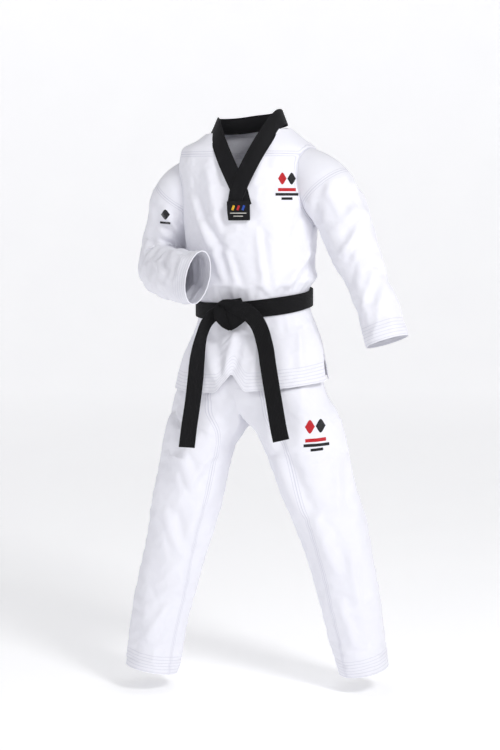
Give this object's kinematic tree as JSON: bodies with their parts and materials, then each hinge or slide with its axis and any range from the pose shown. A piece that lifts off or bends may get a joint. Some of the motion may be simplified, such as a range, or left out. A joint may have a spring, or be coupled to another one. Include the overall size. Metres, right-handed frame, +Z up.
{
  "type": "martial arts uniform",
  "caption": "Pullover jacket with a black lapel collar, black belt tied in front and straight trousers, posed as worn in a wide stance, with bending sleeves and legs.",
  "frame": {"origin": "midway between the wearer's shoulders, on the line from shoulder to shoulder through the base of the neck", "axes": "+Z up, -Y the way the wearer's front faces (the chest is turned about 12 degrees and the hips about 22 towards the wearer's right), +X towards the wearer's left arm"},
  "size_m": [0.6809, 0.364, 1.3864],
  "materials": {
    "white_cotton_twill": "matt woven polyester-cotton",
    "black_ribbed_collar": "matt ribbed cotton band",
    "black_belt_cotton": "stitched cotton webbing with a soft sheen",
    "red_embroidery": "satin-stitch thread",
    "black_embroidery": "satin-stitch thread",
    "white_elastic": "knitted elastic"
  },
  "bodies": {
    "torso": {"jacket_front": "white_cotton_twill", "jacket_back": "white_cotton_twill", "yoke_right": "white_cotton_twill", "yoke_left": "white_cotton_twill", "collar_band": "black_ribbed_collar", "v_tab": "black_ribbed_collar", "chest_badge": "red_embroidery", "sleeve_head_right": "white_cotton_twill", "sleeve_head_left": "white_cotton_twill", "belt_turn_under": "black_belt_cotton", "belt_turn_over": "black_belt_cotton", "belt_knot": "black_belt_cotton", "waistband": "white_cotton_twill", "waist_elastic": "white_elastic", "seat_right": "white_cotton_twill", "seat_left": "white_cotton_twill", "thigh_top_right": "white_cotton_twill", "thigh_top_left": "white_cotton_twill"},
    "front_flap": {"front_skirt": "white_cotton_twill", "front_hem_facing": "white_cotton_twill"},
    "back_flap": {"back_skirt": "white_cotton_twill", "back_hem_facing": "white_cotton_twill"},
    "right_tail": {"belt_tail_right": "black_belt_cotton"},
    "left_tail": {"belt_tail_left": "black_belt_cotton"},
    "right_upper_sleeve": {"sleeve_upper_right": "white_cotton_twill", "elbow_gather_right": "white_cotton_twill", "sleeve_badge_right": "black_embroidery"},
    "right_forearm": {"sleeve_forearm_right": "white_cotton_twill", "cuff_right": "white_cotton_twill"},
    "left_upper_sleeve": {"sleeve_upper_left": "white_cotton_twill", "elbow_gather_left": "white_cotton_twill"},
    "left_forearm": {"sleeve_forearm_left": "white_cotton_twill", "cuff_left": "white_cotton_twill"},
    "right_thigh": {"thigh_right": "white_cotton_twill", "knee_gather_right": "white_cotton_twill"},
    "right_shin": {"shin_right": "white_cotton_twill", "leg_hem_right": "white_cotton_twill"},
    "left_thigh": {"thigh_left": "white_cotton_twill", "knee_gather_left": "white_cotton_twill", "thigh_badge_left": "red_embroidery"},
    "left_shin": {"shin_left": "white_cotton_twill", "leg_hem_left": "white_cotton_twill"}
  },
  "joints": [
    {"name": "shoulder_right", "type": "hinge", "parent": "torso", "child": "right_upper_sleeve", "pos_m": [-0.15, 0.052, -0.108], "axis": [0.2079, 0.9781, 0], "range_deg": [0, 55], "deforming": ["sleeve_head_right"]},
    {"name": "elbow_right", "type": "hinge", "parent": "right_upper_sleeve", "child": "right_forearm", "pos_m": [-0.217, 0.074, -0.332], "axis": [-0.8845, -0.4625, 0.0607], "range_deg": [-20, 15], "deforming": ["elbow_gather_right"]},
    {"name": "shoulder_left", "type": "hinge", "parent": "torso", "child": "left_upper_sleeve", "pos_m": [0.152, -0.05, -0.108], "axis": [-0.2079, -0.9781, 0], "range_deg": [0, 55], "deforming": ["sleeve_head_left"]},
    {"name": "elbow_left", "type": "hinge", "parent": "left_upper_sleeve", "child": "left_forearm", "pos_m": [0.262, -0.118, -0.332], "axis": [-0.9165, -0.0961, -0.3882], "range_deg": [-4, 60], "deforming": ["elbow_gather_left"]},
    {"name": "skirt_front_lift", "type": "hinge", "parent": "torso", "child": "front_flap", "pos_m": [-0.03773, -0.13197, -0.4941], "axis": [-0.9426, 0.3338, 0], "range_deg": [0, 20]},
    {"name": "skirt_back_lift", "type": "hinge", "parent": "torso", "child": "back_flap", "pos_m": [0.04966, 0.10556, -0.467], "axis": [0.9426, -0.3338, 0], "range_deg": [0, 20]},
    {"name": "belt_tail_right_swing", "type": "hinge", "parent": "front_flap", "child": "right_tail", "pos_m": [-0.11786, -0.1036, -0.4941], "axis": [-0.9426, 0.3338, 0], "range_deg": [0, 45]},
    {"name": "belt_tail_left_swing", "type": "hinge", "parent": "front_flap", "child": "left_tail", "pos_m": [0.02542, -0.15433, -0.4941], "axis": [-0.9426, 0.3338, 0], "range_deg": [0, 45]},
    {"name": "hip_right", "type": "hinge", "parent": "torso", "child": "right_thigh", "pos_m": [-0.077, 0.03, -0.51], "axis": [0.3584, 0.9336, 0], "range_deg": [-8, 20], "deforming": ["thigh_top_right"]},
    {"name": "knee_right", "type": "hinge", "parent": "right_thigh", "child": "right_shin", "pos_m": [-0.176, 0.03, -0.995], "axis": [0.9766, 0.007, -0.2149], "range_deg": [0, 60], "deforming": ["knee_gather_right"]},
    {"name": "hip_left", "type": "hinge", "parent": "torso", "child": "left_thigh", "pos_m": [0.093, -0.032, -0.51], "axis": [-0.3584, -0.9336, 0], "range_deg": [-8, 20], "deforming": ["thigh_top_left"]},
    {"name": "knee_left", "type": "hinge", "parent": "left_thigh", "child": "left_shin", "pos_m": [0.205, -0.03, -0.99], "axis": [0.9732, 0, 0.23], "range_deg": [0, 60], "deforming": ["knee_gather_left"]}
  ]
}
